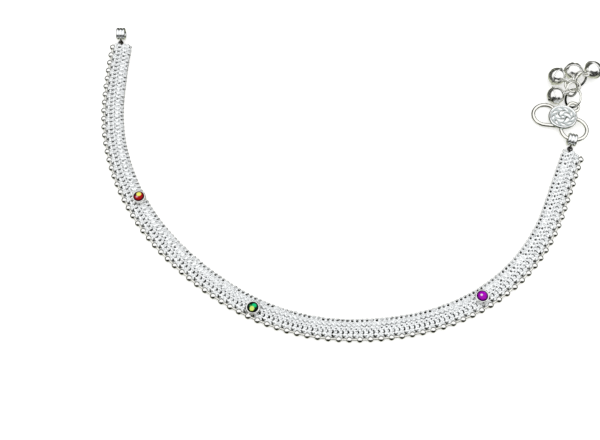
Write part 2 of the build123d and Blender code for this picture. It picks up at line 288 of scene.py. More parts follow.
def turned(profile, cols):
    """A shape turned about Z: (r cos b, r sin b, z) for (r, z) points.

    It is a solid where they start and end on the axis, and otherwise a ring, its outline closed.
    """
    r, z = np.array(profile, float).T[..., None]
    b = around(cols)
    rings = np.stack([r * np.cos(b), r * np.sin(b), z + 0 * b], -1)
    if profile[0][0] > 0:
        return rings.reshape(-1, 3), grid(len(profile), cols, True), NO_TRIANGLES
    return capped(rings[1:-1], (0, 0, profile[0][1]), (0, 0, profile[-1][1]))


def placed(shape, origin=(0, 0, 0), axes=np.eye(3)):
    """A shape moved to an origin, its own x, y and z turned to the rows of axes."""
    points, quads, triangles = shape
    return points @ axes + origin, quads, triangles


def copies(shape, origins, axes):
    """One shape at many places: origins is (count, 3) and axes (count, 3, 3)."""
    points, quads, triangles = shape
    where = points @ axes + origins[:, None]
    step = (np.arange(len(origins)) * len(points))[:, None, None]
    return where.reshape(-1, 3), (quads + step).reshape(-1, 4), (triangles + step).reshape(-1, 3)


def joined(shapes):
    """Several shapes as one."""
    points, quads, triangles = zip(*shapes)
    before = np.cumsum([0] + [len(p) for p in points])
    return (
        np.concatenate(points),
        np.concatenate([q + k for q, k in zip(quads, before)]),
        np.concatenate([t + k for t, k in zip(triangles, before)]),
    )


def turn(x=0.0, y=0.0, z=0.0):
    """Rows of the axes after turning about X, then Y, then Z, in degrees."""
    cx, sx, cy, sy, cz, sz = (f(radians(a)) for a in (x, y, z) for f in (cos, sin))
    about_x = np.array([[1, 0, 0], [0, cx, sx], [0, -sx, cx]])
    about_y = np.array([[cy, 0, -sy], [0, 1, 0], [sy, 0, cy]])
    about_z = np.array([[cz, sz, 0], [-sz, cz, 0], [0, 0, 1]])
    return about_x @ about_y @ about_z


def piece(name, shape, material, stands_for=()):
    """Puts a shape into a smooth-shaded object that rides on the anklet."""
    points, quads, triangles = shape
    mesh = bpy.data.meshes.new(name)
    mesh.vertices.add(len(points))
    mesh.vertices.foreach_set("co", (points * MM).ravel())
    corners = np.concatenate([quads.ravel(), triangles.ravel()])
    mesh.loops.add(len(corners))
    mesh.loops.foreach_set("vertex_index", corners)
    starts = [np.arange(len(quads)) * 4, len(quads) * 4 + np.arange(len(triangles)) * 3]
    mesh.polygons.add(len(quads) + len(triangles))
    mesh.polygons.foreach_set("loop_start", np.concatenate(starts))
    mesh.update(calc_edges=True)
    mesh.shade_smooth()
    mesh.materials.append(material)
    obj = bpy.data.objects.new(name, mesh)
    bpy.context.scene.collection.objects.link(obj)
    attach(obj, "root")
    if stands_for:
        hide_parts(*stands_for)


# ===== places on the bead line =====
def chord(length, bend, heading):
    """The straight step across an arc of that length and bend, from that heading, in radians."""
    middle = heading + bend / 2
    reach = length * np.sinc(bend / (2 * pi))
    return np.stack([reach * np.cos(middle), reach * np.sin(middle)], -1)


SECTION_HEADINGS = radians(START_HEADING) + np.concatenate([[0], np.cumsum(SECTION_TURNS)[:-1]])
SECTION_STEPS = chord(SECTION, SECTION_TURNS, SECTION_HEADINGS)
SECTION_STARTS = LINE_START + np.concatenate([[[0, 0]], np.cumsum(SECTION_STEPS, 0)[:-1]])


def line_at(s):
    """Layout points on the bead line at distances s, and the headings there in radians."""
    s = np.asarray(s, float)
    index = np.clip((s // SECTION).astype(int), 0, len(SECTION_TURNS) - 1)
    left = s - index * SECTION
    bend = SECTION_TURNS[index] * left / SECTION
    heading = SECTION_HEADINGS[index]
    return SECTION_STARTS[index] + chord(left, bend, heading), heading + bend


def across(s, n):
    """Layout points at distances s along the bead line and n inwards from it, and the headings."""
    points, heading = line_at(s)
    inward = np.stack([-np.sin(heading), np.cos(heading)], -1)
    return points + np.asarray(n, float)[..., None] * inward, heading


# The layout is set into the frame by the lowest corner of the band's outer edge.
OUTER_EDGE, _ = across(np.arange(0, LINE_LENGTH, 0.02), -BEAD_R)
SHIFT = np.array(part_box("band")[0][:2]) / MM - OUTER_EDGE.min(0)


def pitched(pitch, phase=0.0, before=0.0, beyond=0.0):
    """Distances along the bead line of things one pitch apart, slipped with the band."""
    s = np.arange(phase - before, LINE_LENGTH + beyond + 0.001, pitch)
    return s + np.interp(s, SLIP_AT, SLIP)


def on_band(s, n, z):
    """Points of the band in the frame."""
    s, n, z = np.broadcast_arrays(s, n, z)
    flat, _ = across(s, n)
    return np.concatenate([flat + SHIFT, z[..., None]], -1)


def band_axes(s):
    """Rows along, inward and up for each s."""
    _, heading = line_at(s)
    c, d, o = np.cos(heading), np.sin(heading), np.zeros_like(heading)
    rows = np.stack([c, d, o], -1), np.stack([-d, c, o], -1), np.stack([o, o, o + 1], -1)
    return np.stack(rows, -2)


def in_frame(point, z):
    """A layout point in the frame, at a height."""
    return np.array([*(SHIFT + point), z])


def stepped(point, heading, distance):
    """A layout point moved along a heading in degrees."""
    return point[0] + distance * cos(radians(heading)), point[1] + distance * sin(radians(heading))


# ===== materials =====
TARNISH_GRAIN = 0.9  # size of the noise patches that shift the edge of the painted shade
FOIL_GRAIN, FOIL_SHAKE = 0.35, 0.22  # size of the crinkles that shake the edges of the painted spots, and how far they shift them
FOIL_RIM, FOIL_SOFT = 0.32, 0.24  # width of the rim painted darker as shade, and half that of its edge


def linear(colour):
    """An sRGB hex colour as linear RGBA."""
    parts = [int(colour[i : i + 2], 16) / 255 for i in (1, 3, 5)]
    return [c / 12.92 if c <= 0.04045 else ((c + 0.055) / 1.055) ** 2.4 for c in parts] + [1.0]


def add(tree, kind, links=(), values=(), **settings):
    """Adds a node: settings are its own, values go on sockets, links come from other nodes."""
    node = tree.nodes.new(kind)
    for key, value in settings.items():
        setattr(node, key, value)
    for key, value in dict(values).items():
        node.inputs[key].default_value = value
    for key, source in dict(links).items():
        tree.links.new(source, node.inputs[key])
    return node


def new_material(name):
    """A material without nodes, and its tree."""
    material = bpy.data.materials.new(name)
    material.use_nodes = True
    material.node_tree.nodes.clear()
    return material, material.node_tree


def layered(tree, base, layers):
    """The colour of layers over a base: each mixes in its own colour by a socket's share."""
    colour = None
    for share, shade in layers:
        mix = add(tree, "ShaderNodeMix", {"Factor": share}, data_type="RGBA")
        mix.inputs["A"].default_value = linear(base)
        mix.inputs["B"].default_value = linear(shade)
        if colour:
            tree.links.new(colour, mix.inputs["A"])
        colour = mix.outputs["Result"]
    return colour


def silver(name, bright, dark, heights, rough, grain, bump, patch=0.0, up=(0, 0, 1), metal=1.0):
    """Silver that is bright higher up and painted dark lower down and in its recesses, as painted
    shade.

    The colour goes from dark to bright between two heights measured along up, shifted by a coarse
    noise of patch millimetres; the roughness goes between two values with a noise of that grain,
    and bump is the depth of the same noise, in millimetres.
    """
    material, tree = new_material(name)
    place = add(tree, "ShaderNodeTexCoord").outputs["Object"]
    height = add(tree, "ShaderNodeVectorMath", {0: place}, {1: up}, operation="DOT_PRODUCT")
    stain = add(tree, "ShaderNodeTexNoise", {"Vector": place},
                {"Scale": 1 / (TARNISH_GRAIN * MM), "Detail": 2.0})
    level = add(tree, "ShaderNodeMath", {0: stain.outputs["Fac"], 2: height.outputs["Value"]},
                {1: -2 * patch * MM}, operation="MULTIPLY_ADD")
    # painted shade: the colour darkens lower down along up
    tone = add(tree, "ShaderNodeMapRange", {"Value": level.outputs["Value"]},
               {"From Min": (heights[0] - patch) * MM, "From Max": (heights[1] - patch) * MM},
               interpolation_type="SMOOTHSTEP")
    noise = add(tree, "ShaderNodeTexNoise", {"Vector": place},
                {"Scale": 1 / (grain * MM), "Detail": 3.0})
    gloss = add(tree, "ShaderNodeMapRange", {"Value": noise.outputs["Fac"]},
                {"From Min": 0.3, "From Max": 0.7, "To Min": rough[0], "To Max": rough[1]})
    relief = add(tree, "ShaderNodeBump", {"Height": noise.outputs["Fac"]},
                 {"Strength": 1.0, "Distance": bump * MM})
    surface = add(tree, "ShaderNodeBsdfPrincipled",
                  {"Base Color": layered(tree, dark, [(tone.outputs["Result"], bright)]),
                   "Roughness": gloss.outputs["Result"], "Normal": relief.outputs["Normal"]},
                  {"Metallic": metal})
    add(tree, "ShaderNodeOutputMaterial", {"Surface": surface.outputs["BSDF"]})
    return material


# Sterling silver, drawn and tumbled: white tops, and painted shade on the lowest parts, between
# the links and at the foot of the ribbed eyes.
LINK_SILVER = silver("tumbled silver links", "#fbfdfe", "#5b5e56", heights=(0.2, 0.6),
                     rough=(0.12, 0.28), grain=0.5, bump=0.01, patch=0.3)
# The same silver under the links: frosted white by pickling, with painted shade black down in its
# pits.
BASE_SILVER = silver("pickled silver base", "#fbfdfe", "#26281f", heights=(0.49, 0.76),
                     rough=(0.2, 0.4), grain=0.4, bump=0.02, patch=0.06)
# Solid silver beads, pressed and burnished until they mirror the room, with painted shade greying
# them towards the bottom; the collets share it.
BEAD_SILVER = silver("burnished silver beads", "#f6f6f4", "#a9aa9f", heights=(0.1, 0.5),
                     rough=(0.03, 0.08), grain=1.2, bump=0.002)
# Drawn silver wire with the soft lines of the draw plate still on it, and olive painted shade on
# its lower sides.
WIRE_SILVER = silver("drawn silver wire", "#fbfaf4", "#85836a", heights=(0.1, 1.1),
                     rough=(0.06, 0.16), grain=0.9, bump=0.004)
# The rings the bells hang from: bright on top and painted green-black lower down, as shade, its
# edge shifted by noise.
RING_SILVER = silver("jump rings with painted shade", "#f8f8f2", "#2c3028", heights=(1.6, 4.2),
                     rough=(0.06, 0.16), grain=0.7, bump=0.004, patch=0.15)
# Small soldered loops, painted grey-black all over and darkest low down, as shade at the necks of
# the eyes.
NECK_SILVER = silver("neck loops painted dark as shade", "#4c4a46", "#0e0c14", heights=(0.7, 1.6),
                     rough=(0.2, 0.4), grain=0.6, bump=0.01)
# Thin sheet silver, pressed into half bells and buffed: it mirrors, with the ripple of the die,
# and painted shade darkens it a little towards the bottom.
BELL_SILVER = silver("pressed sheet silver", "#f8f8f6", "#e4e4de", heights=(0.0, 3.0),
                     rough=(0.03, 0.09), grain=1.6, bump=0.01, metal=0.92)


def foil_glass(name, place, body, rim, spots):
    """Glass cabochon with light painted into its colour: bright spots are painted highlights and
    glints, and the darker rim and dark spots painted shade.

    A spot is (x, y, radius, softness, colour) in millimetres from the stone's middle, and each
    lies over the ones before it. The first is the body, which leaves the rim round it.
    """
    material, tree = new_material(name)
    seat = add(tree, "ShaderNodeTexCoord").outputs["Object"]
    noise = add(tree, "ShaderNodeTexNoise", {"Vector": seat},
                {"Scale": 1 / (FOIL_GRAIN * MM), "Detail": 2.0})
    shake = add(tree, "ShaderNodeVectorMath", {0: noise.outputs["Color"]},
                {1: (0.5, 0.5, 0.5)}, operation="SUBTRACT")
    shaken = add(tree, "ShaderNodeVectorMath", {0: shake.outputs[0], 2: seat},
                 {1: [FOIL_SHAKE * MM] * 3}, operation="MULTIPLY_ADD")
    flat = add(tree, "ShaderNodeVectorMath", {0: shaken.outputs[0]}, {1: (1, 1, 0)},
               operation="MULTIPLY")
    layers = []
    for x, y, radius, soft, shade in [(0, 0, STONE_R - FOIL_RIM, FOIL_SOFT, body), *spots]:
        middle = [(place[0] + x) * MM, (place[1] + y) * MM, 0]
        away = add(tree, "ShaderNodeVectorMath", {0: flat.outputs[0]}, {1: middle},
                   operation="DISTANCE")
        near = add(tree, "ShaderNodeMapRange", {"Value": away.outputs["Value"]},
                   {"From Min": (radius + soft) * MM, "From Max": (radius - soft) * MM},
                   interpolation_type="SMOOTHSTEP")
        layers.append((near.outputs["Result"], shade))
    # the stone's colour carries painted highlights, glints and shade
    surface = add(tree, "ShaderNodeBsdfPrincipled", {"Base Color": layered(tree, rim, layers)},
                  {"Roughness": 0.2, "IOR": 1.5, "Specular IOR Level": 0.06, "Coat Weight": 0.06,
                   "Coat Roughness": 0.02})
    add(tree, "ShaderNodeOutputMaterial", {"Surface": surface.outputs["BSDF"]})
    return material


# ===== the woven band =====
# Uneven numbers from 0 to 1: a row for each thing that differs between hollows, and three spare.
UNEVEN = rng.random((12, 400))
(V_DEPTH, SCALE_DEPTH, SCALE_WIDTH, FINE_DEPTH, FINE_SLIP, DOT_DEPTH, DOT_SLIP, EYE_DEPTH,
 SPECK_DEPTH) = UNEVEN[:9]


def stone_place(name):
    """The middle of a stone in the frame, in plan."""
    flat, _ = across(*STONES[name])
    return flat + SHIFT


def clear_of_stones(points):
    """Which points are well away from every collet."""
    middles = np.stack([stone_place(name) for name in STONES])
    away = np.linalg.norm(points[:, None, :2] - middles, axis=-1)
    return (away > COLLET_R + STONE_GAP).all(1)


def make_edge_beads():
    """One polished ball for each pitch of the bead line."""
    s = pitched(BEAD_PITCH)
    size = BEAD_R * (1 - BEAD_UNEVEN * rng.random(len(s)))
    shape = copies(ball(), on_band(s, 0.0, BEAD_R), band_axes(s) * size[:, None, None])
    piece("edge_beads", shape, BEAD_SILVER)


def make_edge_wire():
    """The wire that threads the edge beads, a little below their middles."""
    s = np.arange(-EDGE_WIRE_BEFORE, LINE_LENGTH + EDGE_WIRE_BEYOND, 0.5)
    path = on_band(s, EDGE_WIRE_IN, EDGE_WIRE_Z)
    piece("edge_wire", tube(path, EDGE_WIRE_R, 8), WIRE_SILVER)


def make_link_row(name, row):
    """A row of like links along the band: each leans forward and rolls, a few degrees unevenly."""
    s = pitched(row.pitch, row.phase, row.before, row.beyond)
    axes = np.stack([
        turn(x=row.roll + LINK_TILT * rng.normal(), y=-row.lean + LINK_TILT * rng.normal(),
             z=LINK_TILT * rng.normal())
        for _ in s
    ])
    origins = on_band(s, row.n + LINK_STRAY * rng.normal(size=len(s)), row.z)
    kept = clear_of_stones(origins)
    shape = copies(link(row.long, row.wide, row.wire), origins[kept], (axes @ band_axes(s))[kept])
    piece(name, shape, LINK_SILVER)


def groove(away, half):
    """Depth of a rounded groove: 1.6 (1 - (away / half)^2), kept between 0 and 1."""
    return np.clip(1.6 * (1 - (away / half) ** 2), 0, 1)


def from_stroke(s, n, start, end):
    """Distance of (s, n) from the straight stroke between two points."""
    start, step = np.array(start), np.subtract(end, start)
    t = np.clip(((s - start[0]) * step[0] + (n - start[1]) * step[1]) / (step @ step), 0, 1)
    return np.hypot(s - start[0] - t * step[0], n - start[1] - t * step[1])


def nearest(s, pitch, phase):
    """How far s is past the nearest of places one pitch apart, and that place's number."""
    k = np.floor((s - phase) / pitch + 0.5)
    return s - phase - k * pitch, k.astype(int)


def uneven(row, k, least, most):
    """The k-th value of a row of uneven numbers, between least and most."""
    return least + (most - least) * row[k % len(row)]


def dotted(s, n, dots, depths, slips):
    """Strength of a row of round hollows, each of its own depth and slipped a little across."""
    past, k = nearest(s, LINK_PITCH, dots.phase)
    slip = uneven(slips, k, -dots.slip, dots.slip)
    away = np.hypot(past * dots.along, (n - dots.n - slip) * dots.across)
    return uneven(depths, k, dots.least, dots.most) * groove(away, dots.half)


def weave_height(s, n):
    """Height of the base's top: BASE_TOP, less DEEPEST times the strongest hollow at that place.

    The hollows are a V between two edge beads, a faint groove round each bead and collet, then
    crescents ahead of the scale links, fine dots, larger dots that run into a zigzag round the
    bow, specks, and a round eye inside each ring of the inner row.
    """
    along, s = s, s - np.interp(s, SLIP_AT, SLIP)
    bow = np.interp(along, BOW_AT, BOW)

    past, k = nearest(s, BEAD_PITCH, BEAD_PITCH / 2)
    strokes = [strength * groove(from_stroke(past, n, start, end), half)
               for start, end, half, strength in V_STROKES]
    vees = uneven(V_DEPTH, k, *V_STRENGTH) * np.max(strokes, 0)
    bead, _ = nearest(s, BEAD_PITCH, 0.0)
    rings = [(bead, n, *BEAD_GROOVE)]
    rings += [(along - at, n - inwards, *COLLET_GROOVE) for at, inwards in STONES.values()]
    rings = [strength * groove(np.hypot(x, y) - radius, half)
             for x, y, radius, half, strength in rings]

    scales = LINK_ROWS["scale_links"]
    past, k = nearest(s, LINK_PITCH, scales.phase + CRESCENT_AHEAD)
    reach = np.hypot(past + CRESCENT_BACK, n - scales.n) - CRESCENT_R
    crescents = groove(reach, uneven(SCALE_WIDTH, k, *CRESCENT_HALF)) * (past > CRESCENT_FROM)
    crescents *= uneven(SCALE_DEPTH, k, *CRESCENT_STRENGTH) * groove(n - scales.n, CRESCENT_REACH)

    fine = dotted(s, n, FINE_DOTS, FINE_DEPTH, FINE_SLIP)
    dots = dotted(s, n, ZIGZAG_DOTS, DOT_DEPTH, DOT_SLIP)
    past, k = nearest(s, LINK_PITCH, ZIGZAG_DOTS.phase)
    zigzag = groove(n - ZIGZAG_N - ZIGZAG_SLOPE * np.abs(past), ZIGZAG_HALF)
    zigzag *= uneven(DOT_DEPTH, k, *ZIGZAG_STRENGTH)
    dots += bow * (zigzag - dots)

    past, k = nearest(s, LINK_PITCH / 2, SPECKS.phase)
    shown = np.clip(uneven(SPECK_DEPTH, k, SPECKS.least, SPECKS.most), 0, 1)
    specks = (1 - SPECK_FADE * bow) * shown * groove(np.hypot(past, n - SPECKS.n), SPECKS.half)
    eyes = dotted(s, n, EYES, EYE_DEPTH, EYE_DEPTH)

    marks = np.interp(along, STRONG_AT, STRONG) * np.max([crescents, fine, dots, specks, eyes], 0)
    edge = EDGE_SLOPE * np.clip(EDGE_FROM - n, 0, EDGE_WIDTH)
    return BASE_TOP - edge - DEEPEST * np.max([vees, marks, *rings], 0)


def make_base(name, near, far, stands_for=()):
    """One half of the layer under the rows, between two distances from the bead line.

    Each step along it has points over the top, at weave_height, and a few back below. Near the
    tips the steps draw in by r - sqrt(r^2 - x^2), quarter circles that round the corners.
    """
    s = np.arange(-BASE_BEFORE, LINE_LENGTH + BASE_BEYOND, BASE_STEP)[:, None]
    past = np.maximum(CORNER_START - s, s - LINE_LENGTH + CORNER_END)
    past = np.clip(past, 0, CORNER_R - 0.01)
    tuck = CORNER_R - np.sqrt(CORNER_R ** 2 - past ** 2)
    middle = BAND_INNER / 2
    half = BASE_FAR - middle
    squeeze = (half - tuck) / half

    def drawn_in(share):
        """Place across at a share of the way from near to far, drawn in to the middle."""
        return middle + squeeze * (near + (far - near) * share - middle)

    n = drawn_in(np.linspace(0, 1, BASE_OVER))
    top = on_band(s, n, weave_height(s + 0 * n, n))
    n = drawn_in(np.linspace(1, 0, BASE_UNDER))
    ripple = RIPPLE * np.sin(2 * pi * s / LINK_PITCH) * np.sin(2 * pi * n / RIPPLE_ACROSS)
    below = on_band(s, n, BASE_LOW + ripple)
    rings = np.concatenate([top, below], 1)[:, ::-1]
    shape = capped(rings, rings[0].mean(0), rings[-1].mean(0))
    piece(name, shape, BASE_SILVER, stands_for)


def make_tip_links():
    """Links that gather the rows' ends to the loop in the middle of each tip."""
    past, n, spin = np.array(TIP_LINKS).T
    s = np.where(past > 0, LINE_LENGTH + past, past)
    axes = np.stack([turn(x=TIP_LINK_ROLL, y=TIP_LINK_LEAN, z=a) for a in spin]) @ band_axes(s)
    shape = copies(link(*TIP_LINK, sides=6), on_band(s, n, TIP_LINK_Z), axes)
    piece("tip_links", shape, LINK_SILVER)


def make_band():
    """The band's pieces, in the order in which they draw uneven numbers."""
    make_edge_beads()
    make_edge_wire()
    make_base("outer_base", BASE_NEAR, BASE_SPLIT, ["band"])
    make_base("inner_base", BASE_SPLIT, BASE_FAR)
    make_tip_links()
    for name, row in LINK_ROWS.items():
        make_link_row(name, row)


# ===== stones =====
# Glass, slot, colours of the body and the rim, and spots of each stone. The rim is painted shade,
# the bright spots painted highlights and glints, and the dark purple spot on the red stone painted
# shade.
STONE_GLASS = {
    "stone_red": ("ruby glass with painted glints", "red_glass", "#bc0a14", "#38000e", [
        (-0.75, 0.4, 0.62, 0.26, "#33052a"), (0.3, -0.7, 0.45, 0.3, "#a8040c"),
        (-0.45, -0.36, 0.3, 0.25, "#f4b0c6"), (0.06, 0.47, 0.72, 0.13, "#ffff74")]),
    "stone_green": ("emerald glass with painted glints", "green_glass", "#022412", "#000201", [
        (0.46, 0.34, 0.62, 0.18, "#12dc86"), (-0.6, 0.24, 0.3, 0.2, "#3aa85a"),
        (-0.2, -0.56, 0.66, 0.12, "#e6ff7c")]),
    "stone_magenta": ("fuchsia glass with painted glints", "magenta_glass", "#b200c2", "#46005a", [
        (0.4, 0.5, 0.5, 0.3, "#be00d6"), (-0.32, 0.02, 0.3, 0.13, "#fff6fc")]),
}
# The collet's outline, as (radius, height): its rim is rolled in over the stone's girdle.
COLLET = [(0, 0.03), (1.9, 0.03), (1.98, 0.12), (2.0, 1.0), (COLLET_R, 1.6), (COLLET_R, 2.1),
          (1.98, 2.3), (1.88, 2.42), (1.76, 2.44), (1.64, 2.38), (1.585, 2.26), (1.58, 1.58),
          (0, 1.57)]


def make_stones():
    """Cabochons: a straight girdle under a low dome, which is a cap of a large ball."""
    large = (STONE_R ** 2 + STONE_DOME ** 2) / (2 * STONE_DOME)
    r = np.linspace(STONE_R, 0.0, 14)
    dome = np.stack([r, STONE_TOP - large + np.sqrt(large ** 2 - r ** 2)], 1)
    dome[0, 1] -= 0.05  # eases the edge between the girdle and the dome
    foot = [(0, STONE_LOW), (STONE_R - 0.1, STONE_LOW), (STONE_R, STONE_LOW + 0.1)]
    shape = turned(np.concatenate([foot, dome]), 40)
    for name, (glass, slot, body, rim, spots) in STONE_GLASS.items():
        place = stone_place(name)
        material = foil_glass(glass, place, body, rim, spots)
        piece(name + "_cabochon", placed(shape, (*place, 0)), material, [name])


def make_collets():
    """Turned cups that hold the stones."""
    cups = [placed(turned(COLLET, 40), (*stone_place(name), 0)) for name in STONES]
    piece("collets", joined(cups), BEAD_SILVER)


# ===== eyes =====
def tip_loop_place(s, n, out):
    """Layout middle of the flat loop that stands out of the band's tip."""
    flat, heading = across(s, n)
    return stepped(flat, degrees(float(heading)), out)


START_LOOP = tip_loop_place(0.0, END_EYE_ACROSS, -START_TIP - TIP_LOOP_OUT)
END_LOOP = tip_loop_place(LINE_LENGTH, CLASP_EYE_ACROSS, END_TIP + TIP_LOOP_OUT)
END_EYE = stepped(START_LOOP, END_EYE_HEADING, NECK_RADIUS + NECK_REACH)
CLASP_EYE = stepped(END_LOOP, CLASP_EYE_HEADING, NECK_RADIUS + NECK_REACH)
CLASP_AT = stepped(CLASP_EYE, CLASP_EYE_HEADING, LOOP_RADIUS)
FACING_Y = turn(x=90)


def make_eye(name, place, heading):
    """Three rings side by side, soldered into a short ribbed tube."""
    rib = placed(ring(RIB_RADIUS, RIB_WIRE / 2, 32, 12), axes=FACING_Y)
    ribs = joined([placed(rib, (0, k * RIB_PITCH, 0)) for k in (-1, 0, 1)])
    shape = placed(ribs, in_frame(place, RIB_RADIUS + RIB_WIRE / 2), turn(z=heading))
    piece(name + "_ribs", shape, LINK_SILVER, [name])


def make_neck_loops():
    """The two small loops at each tip: one flat in the band, one upright behind its ribbed eye."""
    loop = ring(NECK_RADIUS, NECK_WIRE / 2, 24, 10)
    shapes = []
    for flat, eye, heading in ((START_LOOP, END_EYE, END_EYE_HEADING),
                               (END_LOOP, CLASP_EYE, CLASP_EYE_HEADING)):
        behind = stepped(eye, heading, -NECK_REACH)
        shapes.append(placed(loop, in_frame(flat, LOOP_Z)))
        shapes.append(placed(loop, in_frame(behind, LOOP_Z), FACING_Y @ turn(z=heading)))
    piece("neck_loops", joined(shapes), NECK_SILVER)


# ===== clasp =====
def clasp_pose():
    """The flat clasp's axes, tipped so that the far side of its hook stays down, and origin."""
    eye = np.array([*stepped((0, 0), CLASP_EYE_HEADING + 180, LOOP_RADIUS), 0.0])
    to_hook = np.subtract(HOOK_CENTRE, eye[:2])
    slope = degrees(np.arcsin((EYE_WIRE_Z - CLASP_WIRE / 2) / (np.hypot(*to_hook) + HOOK_RADIUS)))
    heading = degrees(atan2(to_hook[1], to_hook[0]))
    axes = turn(z=-heading) @ turn(y=slope) @ turn(z=heading)
    return axes, in_frame(CLASP_AT, EYE_WIRE_Z) + eye - eye @ axes


CLASP_AXES, CLASP_ORIGIN = clasp_pose()
PLATE_TOP = float(CLASP_ORIGIN @ CLASP_AXES[2]) + PLATE_LOW + PLATE_T  # along its own axis
# Die-struck silver: painted shade greys the ground of the relief, and it is polished bright where
# it stands up.
STRUCK_SILVER = silver("die-struck silver", "#fbfdfd", "#b4bcbc",
                       heights=(PLATE_TOP - 0.02, PLATE_TOP + 0.12), rough=(0.06, 0.2), grain=0.7,
                       bump=0.012, patch=0.03, up=tuple(CLASP_AXES[2]))


def arc(centre, radius, start, end, step=6.0):
    """Points of a flat arc between two angles in degrees."""
    a = np.radians(np.linspace(start, end, int(abs(end - start) / step) + 2))
    return np.stack([centre[0] + radius * np.cos(a), centre[1] + radius * np.sin(a), 0 * a], 1)


def make_clasp_wire():
    """Thick wire bent into the hook with its straight foot, and into the closed loop."""
    hook = arc(HOOK_CENTRE, HOOK_RADIUS, HOOK_FROM, HOOK_TO)
    run = radians(HOOK_TO + 90)
    foot = hook[-1] + np.linspace(0.6, HOOK_RUN, 6)[:, None] * [cos(run), sin(run), 0]
    paths = np.concatenate([hook, foot]), arc((0, 0), LOOP_RADIUS, LOOP_FROM, LOOP_TO)
    wires = joined([tube(path, CLASP_WIRE / 2, 14) for path in paths])
    shape = placed(wires, CLASP_ORIGIN, CLASP_AXES)
    piece("clasp_wire", shape, WIRE_SILVER, ["clasp"])


def bump(x):
    """A smooth hill: (1 - x^2)^1.5, and 0 from x = 1 out."""
    return np.clip(1 - x * x, 0, 1) ** 1.5


def rosette(r, a):
    """Height of the struck face over its ground, at a share r of the way out and an angle a.

    A whirl of veined petals turns round a boss, then come sprigs that whirl the other way, a ring
    of small teeth and a raised rim.
    """
    def band(middle, half, height):
        """A round ring of relief: a hill of that height over r."""
        return height * bump((r - middle) / half)

    whirl = a + PETAL_WHIRL * r
    petals = band(*PETAL) * np.abs(np.cos(PETALS / 2 * whirl)) ** 0.8
    veins = band(*VEIN) * bump(3 * np.sin(PETALS / 2 * (whirl + pi / PETALS)))
    sprigs = band(*SPRIG) * np.clip(np.cos(SPRIGS * (a + SPRIG_WHIRL * r)) + 0.3, 0, 1) ** 0.7
    teeth = band(*TOOTH) * np.clip(np.cos(TEETH * a), 0, 1)
    return RELIEF * (band(*BOSS) + petals + veins + sprigs + teeth + band(*RIM))


def make_medallion():
    """The oval plate: a plain back, a rounded side, and the struck face by rings of points."""
    low, top = PLATE_LOW, PLATE_LOW + PLATE_T
    a = around(132)
    face = np.linspace(0.995, 0.02, 60)[:, None]
    # the back and side, as (share of the way out, height)
    back = np.array([(0.5, low), (0.96, low), (0.985, low + 0.04), (1.0, low + 0.15),
                     (1.0, top - 0.1)])
    out = np.concatenate([back[:, :1], face])
    x = MEDALLION_CENTRE[0] + out * MEDALLION_X * np.cos(a)
    y = MEDALLION_CENTRE[1] + out * MEDALLION_Y * np.sin(a)
    z = np.concatenate([back[:, 1:] + 0 * a, top + rosette(face, a)])
    middle = (*MEDALLION_CENTRE, low), (*MEDALLION_CENTRE, top + rosette(0.0, 0.0))
    plate = placed(capped(np.stack([x, y, z], -1), *middle), CLASP_ORIGIN, CLASP_AXES)
    piece("medallion", plate, STRUCK_SILVER)


def make_tab():
    """The holed tab that carries the bells' ring, and the neck that joins it to the plate."""
    low, top = PLATE_LOW, PLATE_LOW + PLATE_T
    inner, outer = TAB_HOLE_R, TAB_R
    outline = [(inner, low + 0.15), (inner + 0.12, low), (outer - 0.12, low), (outer, low + 0.15),
               (outer, top - 0.15), (outer - 0.15, top), (inner + 0.15, top), (inner, top - 0.15)]
    eyelet = placed(turned(outline, 48), (*TAB_CENTRE, 0))
    dx, dy = np.subtract(TAB_CENTRE, MEDALLION_CENTRE)
    x = np.linspace(TAB_NECK_FROM, np.hypot(dx, dy) - inner - 0.05, 5)[:, None]
    y = TAB_NECK_HALF * np.array([-0.93, 0.93, 1, 1, 0.9, -0.9, -1, -1])
    z = np.array([low, low, low + 0.12, top - 0.15, top, top, top - 0.15, low + 0.12])
    rings = np.stack([x + 0 * y, y + 0 * x, z + 0 * x], -1)
    neck = capped(rings, rings[0].mean(0), rings[-1].mean(0))
    neck = placed(neck, (*MEDALLION_CENTRE, 0), turn(z=degrees(atan2(dy, dx))))
    shape = placed(joined([eyelet, neck]), CLASP_ORIGIN, CLASP_AXES)
    piece("clasp_tab", shape, WIRE_SILVER)


# ===== jump rings and bells =====
def link_axes(start, end, lean):
    """Rows of the axes of a ring through two opposite points: along, across and its own axis."""
    along = unit(end - start)
    side = unit(np.cross(along, [0, 0, 1]))
    lift = np.cross(side, along)
    other = side * cos(radians(lean)) + lift * sin(radians(lean))
    axis = np.cross(along, other)
    return np.stack([along, np.cross(axis, along), axis])


def make_jump_ring(name, radius, cut, middle, axes=np.eye(3)):
    """A sawn ring of wire: nearly a full turn, with its two ends facing across the cut."""
    path = arc((0, 0), radius, cut + SAW_CUT, cut + 360 - SAW_CUT, 7.0)
    shape = placed(tube(path, RING_WIRE / 2, 12, cap_rows=1), middle, axes)
    piece(name + "_wire", shape, RING_SILVER, [name])


def make_leaning_ring(name, start, end, lean, cut):
    """A jump ring through two opposite points, leaning over from lying flat."""
    radius = np.linalg.norm(end - start) / 2
    make_jump_ring(name, radius, cut, (start + end) / 2, link_axes(start, end, lean))


def slot_reach(b):
    """How far the slot's outline is from the axis at angle b: a hole, then the slit."""
    c, s = np.abs(np.cos(b)), np.abs(np.sin(b))
    inside = SLOT_HOLE_R ** 2 - (SLOT_HALF * s) ** 2
    hole = SLOT_HALF * c + np.sqrt(np.clip(inside, 0, None))
    slit = np.minimum(SLOT_W / 2 / np.maximum(s, 1e-6), SLOT_HALF + SLOT_HOLE_R)
    return np.where(inside > 0, hole, slit)


